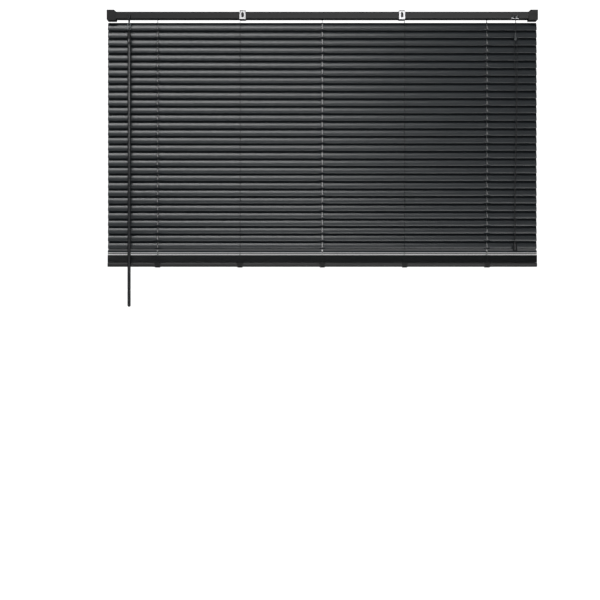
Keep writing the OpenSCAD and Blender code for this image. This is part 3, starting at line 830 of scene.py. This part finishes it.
UPPER_ROUTE = np.array([
    [536, -12.5, -20], [536, -14.2, -20], [536, -16, -20.4], [536.2, -18, -21.8],
    [536.4, -19.4, -24], [536.6, -20.2, -27], [536.8, -20.5, -31], [537, -20.5, -36],
    [537, -20.5, -42], [537, -20.5, -48], [537, -20.5, -54], [537, -20.5, -60], [537, -20.5, -66],
]) * MM
RIGHT_ROUTE = np.array([
    [540.3, -20.5, -88], [541, -20.5, -104], [541.3, -20.5, -122], [541.4, -20.5, -142],
    [541.4, -20.5, -164], [541.3, -20.5, -188], [541.2, -20.5, -214], [541, -20.5, -242],
    [540.7, -20.5, -272], [540.4, -20.5, -302], [540, -20.5, -332], [539.6, -20.5, -360],
    [539, -20.5, -388], [538.2, -20.5, -414], [537.4, -20.5, -440], [536.7, -20.5, -466],
    [536.2, -20.5, -492], [536, -20.5, -520], [535.9, -20.5, -550], [535.9, -20.5, -580],
    [535.9, -20.5, -610], [536, -20.5, -632], [536, -20.5, -649],
]) * MM
LEFT_ROUTE = np.array([
    [533.7, -20.5, -88], [533.4, -20.5, -104], [533.5, -20.5, -122], [534.2, -20.5, -142],
    [535.4, -20.5, -164], [536.8, -20.5, -188], [538, -20.5, -214], [538.8, -20.5, -242],
    [538.6, -20.5, -272], [538.3, -20.5, -302], [537.9, -20.5, -332], [537.5, -20.5, -360],
    [536.9, -20.5, -388], [536.1, -20.5, -414], [535.3, -20.5, -440], [534.6, -20.5, -466],
    [534.1, -20.5, -492], [533.9, -20.5, -520], [533.8, -20.5, -550], [533.8, -20.5, -580],
    [533.8, -20.5, -610], [533.9, -20.5, -632], [534, -20.5, -649],
]) * MM


def route_length(path):
    """Length of a line of points."""
    return float(np.linalg.norm(np.diff(path, axis=0), axis=1).sum())


class BLIND_OT_pull_cord(bpy.types.Operator):
    """Make the pull cord: one cord out of the lock, its connector, two strands and the tassel"""
    bl_idname = "blind.pull_cord"
    bl_label = "Pull cord"

    def execute(self, context):
        strand = settings("cords").strand
        connector = self.connector()
        tassel = self.tassel()
        routes = (("pull_cord_upper", UPPER_ROUTE, 1.2 * strand, "connector", [connector]),
                  ("pull_cord_right", RIGHT_ROUTE, strand, "fitting", [tassel]),
                  ("pull_cord_left", LEFT_ROUTE, strand, "fitting", [tassel]))
        for name, route, diameter, far_end, on_it in routes:
            path = curve_through(route, 2 * MM)
            points, faces, uv = tube(path, diameter / 2, 12, (1, 0, 0))
            cord = make_piece(name, points, faces, [finish("pull cord")], uv)
            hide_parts("pull_cord")
            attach(cord, "root")
            route_length(path)
            if far_end == "fitting":
                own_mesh(cord)
        return {"FINISHED"}

    def connector(self):
        """A turned breakaway connector: a collar, a groove where its halves part, and a tapered neck."""
        low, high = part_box("cord_connector")
        centre = (low + high) / 2
        top = high.z - low.z
        profile = np.array([
            [1.7, 0], [4.0, 0], [4.4, 0.3], [4.6, 0.9], [4.6, 3.2], [4.4, 3.5], [4.1, 3.6],
            [4.1, 4.3], [4.4, 4.4], [4.5, 4.8], [4.3, 7.6], [4.1, 8.6], [3.6, 11.5], [3.1, 14.5],
            [2.7, 17.5], [2.4, 20.2], [2.2, 21.2], [1.9, 21.8], [1.2, top / MM]]) * MM
        profile[:, 1] += low.z
        points, faces, uv = revolved(profile, centre, 40)
        piece = make_piece("cord_connector_turned", points, faces, [finish("smoked plastic")], uv)
        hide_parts("cord_connector")
        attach(piece, "root")
        return piece

    def tassel(self):
        """A moulded bell tassel: a beaded neck, a flared skirt with a rolled lip and a hollow foot."""
        low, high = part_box("cord_tassel")
        centre = (low + high) / 2
        tall = (high.z - low.z) / MM
        profile = np.array([
            [3.2, 1.6], [4.6, 1.2], [5.2, 0.3], [5.7, 0], [6.2, 0.2], [6.5, 0.8], [6.5, 2.4],
            [6.3, 3.2], [6.1, 4.6], [5.8, 8], [5.5, 12], [5.2, 16], [4.95, 18.2], [4.6, 18.6],
            [4.6, 19.2], [4.9, 19.6], [4.9, 20.6], [4.5, 21.5], [3.8, tall - 0.1], [2.0, tall]]) * MM
        profile[:, 1] += low.z
        points, faces, uv = revolved(profile, centre, 48)
        piece = make_piece("cord_tassel_moulded", points, faces, [finish("tassel")], uv)
        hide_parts("cord_tassel")
        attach(piece, "cord_tassel")
        return piece


# ---- Wand ----

class BLIND_OT_wand(bpy.types.Operator):
    """Make the tilt wand's rod, and finish its ferrule, its link and the tilter's eye"""
    bl_idname = "blind.wand"
    bl_label = "Wand"

    def execute(self, context):
        low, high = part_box("wand_rod")
        centre = (low + high) / 2
        radius = (high.x - low.x) / 2
        dome = np.linspace(-math.pi / 2, 0, 9)[1:]
        ends = np.column_stack([radius * np.cos(dome), low.z + radius * (1 + np.sin(dome))])
        grip = np.array([[1, 3], [1, 40], [0.93, 42], [0.93, 43], [1, 45]])
        above = np.column_stack([radius * grip[:, 0], low.z + radius + grip[:, 1] * MM])
        rest = np.column_stack([np.full(24, radius), np.linspace(low.z + radius + 50 * MM, high.z, 24)])
        points, faces, uv = revolved(np.concatenate([ends, above, rest]), centre, 40)
        rod = make_piece("wand_rod_turned", points, faces, [finish("wand")], uv)
        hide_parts("wand_rod")
        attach(rod, "wand")
        dressed("wand_ferrule", [finish("tassel")], 0.3 * MM)
        dressed("tilter_worm", [finish("dark plastic")], 0.2 * MM)
        self.link()
        return {"FINISHED"}

    def link(self):
        """A bent wire link: a long ring of wire, two half circles joined by straight legs."""
        low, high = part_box("wand_link")
        wire = 0.7 * MM
        half = (high.x - low.x) / 2 - wire
        centre = (low + high) / 2
        leg = (high.z - low.z) / 2 - wire - half
        turn = np.linspace(0, math.pi, 17)
        top = np.column_stack([half * np.cos(turn), leg + half * np.sin(turn)])
        ring = np.concatenate([top, -top, top[:1]])
        path = np.column_stack([centre.x + ring[:, 0], np.full(len(ring), centre.y),
                                centre.z + ring[:, 1]])
        sides = 10
        points, faces, uv = tube(path[:-1], wire, sides, (0, 1, 0), tips=False)
        last = (len(path) - 2) * sides
        seam = [(last + k, k, (k + 1) % sides, last + (k + 1) % sides) for k in range(sides)]
        uv = np.concatenate([uv, np.zeros((4 * sides, 2))])
        piece = make_piece("wand_link_wire", points, faces + seam, [finish("pale plastic")], uv)
        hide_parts("wand_link")
        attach(piece, "wand_link")


# ---- Rails, brackets and mechanism ----

class BLIND_OT_rails(bpy.types.Operator):
    """Finish the head rail and the bottom rail with its end caps and clips"""
    bl_idname = "blind.rails"
    bl_label = "Rails"

    def execute(self, context):
        dressed("headrail", [finish("rail")], 0.15 * MM)
        dressed("bottom_rail", [finish("rail")], 0.15 * MM)
        dressed("rail_end_caps", [finish("dark plastic")], 0.4 * MM)
        dressed("rail_clips", [finish("clip plastic")], 0.3 * MM)
        return {"FINISHED"}


class BLIND_OT_brackets(bpy.types.Operator):
    """Finish the end brackets, their gates and the centre brackets"""
    bl_idname = "blind.brackets"
    bl_label = "Brackets"

    def execute(self, context):
        for side in ("left", "right"):
            dressed("end_bracket_" + side, [finish("bracket")])
            dressed("bracket_gate_" + side, [finish("bracket")])
            dressed("centre_bracket_" + side, [finish("zinc")], 0.15 * MM)
        return {"FINISHED"}


class BLIND_OT_mechanism(bpy.types.Operator):
    """Finish the drive and the lock inside the head rail"""
    bl_idname = "blind.mechanism"
    bl_label = "Mechanism"

    def execute(self, context):
        for node in ("tilt_rod", "cord_lock"):
            dressed(node, [finish("zinc")], 0.15 * MM)
        for node in ("lock_roller", "lock_pawl"):
            dressed(node, [finish("grey plastic")], 0.15 * MM)
        for node in ("drum_cradles", "tilter_housing", "ladder_drums"):
            dressed(node, [finish("dark plastic")], 0.15 * MM)
        dressed("worm_wheel", [finish("pale plastic")], 0.1 * MM)
        return {"FINISHED"}


# ---- Camera and stage ----

class BLIND_OT_camera(bpy.types.Operator):
    """Set the camera level, square to the blind"""
    bl_idname = "blind.camera"
    bl_label = "Camera"

    def execute(self, context):
        stage = settings("stage")
        data = bpy.data.cameras.new("Camera")
        data.lens = data.sensor_width * stage.distance / stage.shown_width
        camera = bpy.data.objects.new("Camera", data)
        camera.location = (stage.camera_x, -stage.distance, stage.camera_z)
        camera.rotation_euler = (math.pi / 2, 0, 0)
        context.scene.collection.objects.link(camera)
        context.scene.camera = camera
        return {"FINISHED"}


def softbox(name, place, target, size, power):
    """A rectangular area light that faces a target point."""
    data = bpy.data.lights.new(name, "AREA")
    data.shape = "RECTANGLE"
    data.size, data.size_y = size
    data.energy = power
    light = bpy.data.objects.new(name, data)
    ahead = np.array(target) - np.array(place)
    flat = math.hypot(ahead[0], ahead[1])
    light.location = place
    light.rotation_euler = (math.atan2(flat, -ahead[2]), 0, math.atan2(-ahead[0], ahead[1]))
    bpy.context.scene.collection.objects.link(light)
    return light


class BLIND_OT_stage(bpy.types.Operator):
    """Make the pale floor, the backdrop and the soft studio lights"""
    bl_idname = "blind.stage"
    bl_label = "Stage"

    def execute(self, context):
        self.backdrop()
        softbox("Key", (-1.65, -3.4, 3.7), (0, 0, -0.35), (4.4, 1.0), 125)
        softbox("Front", (0.9, -5.6, 0.65), (0.2, 0, -0.35), (3.4, 0.8), 56)
        softbox("Rear", (0, 2.4, 1.5), (0, 0, -0.6), (3.0, 1.0), 7)
        softbox("Low fill", (0.4, -5.6, -0.9), (0, 0, -0.6), (3.0, 0.8), 8)
        world = bpy.data.worlds.new("Studio")
        world.use_nodes = True
        world.node_tree.nodes["Background"].inputs["Color"].default_value = (0.9, 0.95, 1.0, 1)
        world.node_tree.nodes["Background"].inputs["Strength"].default_value = 0.06
        context.scene.world = world
        context.scene.view_settings.view_transform = "Standard"
        return {"FINISHED"}

    def backdrop(self):
        """A floor that curves up into a wall: flat, a quarter circle, then upright."""
        floor_z, bend, wall_y, top, half_width, columns = -1.78, 0.9, 3.2, 3.5, 9.0, 7
        turn = np.linspace(0, math.pi / 2, 17)
        line = np.concatenate([
            [[-half_width, floor_z]],
            np.column_stack([wall_y - bend + bend * np.sin(turn), floor_z + bend * (1 - np.cos(turn))]),
            [[wall_y, top]]])
        x = np.linspace(-half_width, half_width, columns)
        points = np.stack([np.tile(x, (len(line), 1)), np.repeat(line[:, :1], columns, 1),
                           np.repeat(line[:, 1:], columns, 1)], -1)
        rows, cols = grid_quads(len(line), columns, False)
        made = Finish("backdrop_paper", roughness=0.9, Specular_IOR_Level=0.2)
        fibre = made.noise(made.coords(), 40, detail=3)
        made.paint(made.shades(fibre, settings("stage").floor, 0.985, 1.0))
        made.shader.inputs["Emission Color"].default_value = (1, 1, 1, 1)
        made.shader.inputs["Emission Strength"].default_value = 0.9
        floor = make_piece("backdrop", points.reshape(-1, 3), (rows * columns + cols).tolist(),
                           [made.material])
        floor.visible_glossy = False
        floor.visible_diffuse = False


# ---- Panel and registration ----

STEPS = (BLIND_OT_camera, BLIND_OT_pull_cord, BLIND_OT_open_slats, BLIND_OT_stacked_slats, BLIND_OT_ladders,
         BLIND_OT_lift_cords, BLIND_OT_wand, BLIND_OT_rails, BLIND_OT_brackets, BLIND_OT_mechanism,
         BLIND_OT_stage)
SETTINGS = {"blind_slats": BlindSlatSettings, "blind_rails": BlindRailSettings,
            "blind_cords": BlindCordSettings, "blind_stage": BlindStageSettings}


class BLIND_PT_panel(bpy.types.Panel):
    """Lists the blind's settings and the steps that make it"""
    bl_idname = "BLIND_PT_panel"
    bl_label = "Venetian Blind"
    bl_space_type = "VIEW_3D"
    bl_region_type = "UI"
    bl_category = "Blind"

    def draw(self, context):
        for key in SETTINGS:
            box = self.layout.box()
            group = getattr(context.scene, key)
            for name in group.bl_rna.properties.keys():
                if name not in {"rna_type", "name"}:
                    box.prop(group, name)
        for step in STEPS:
            self.layout.operator(step.bl_idname)


def register():
    for group in SETTINGS.values():
        bpy.utils.register_class(group)
    for key, group in SETTINGS.items():
        setattr(bpy.types.Scene, key, bpy.props.PointerProperty(type=group))
    for item in (*STEPS, BLIND_PT_panel):
        bpy.utils.register_class(item)


def unregister():
    for item in reversed((*STEPS, BLIND_PT_panel)):
        bpy.utils.unregister_class(item)
    for key, group in SETTINGS.items():
        delattr(bpy.types.Scene, key)
        bpy.utils.unregister_class(group)


def main():
    register()
    for step in STEPS:
        group, name = step.bl_idname.split(".")
        getattr(getattr(bpy.ops, group), name)()


if __name__ == "__main__":
    main()
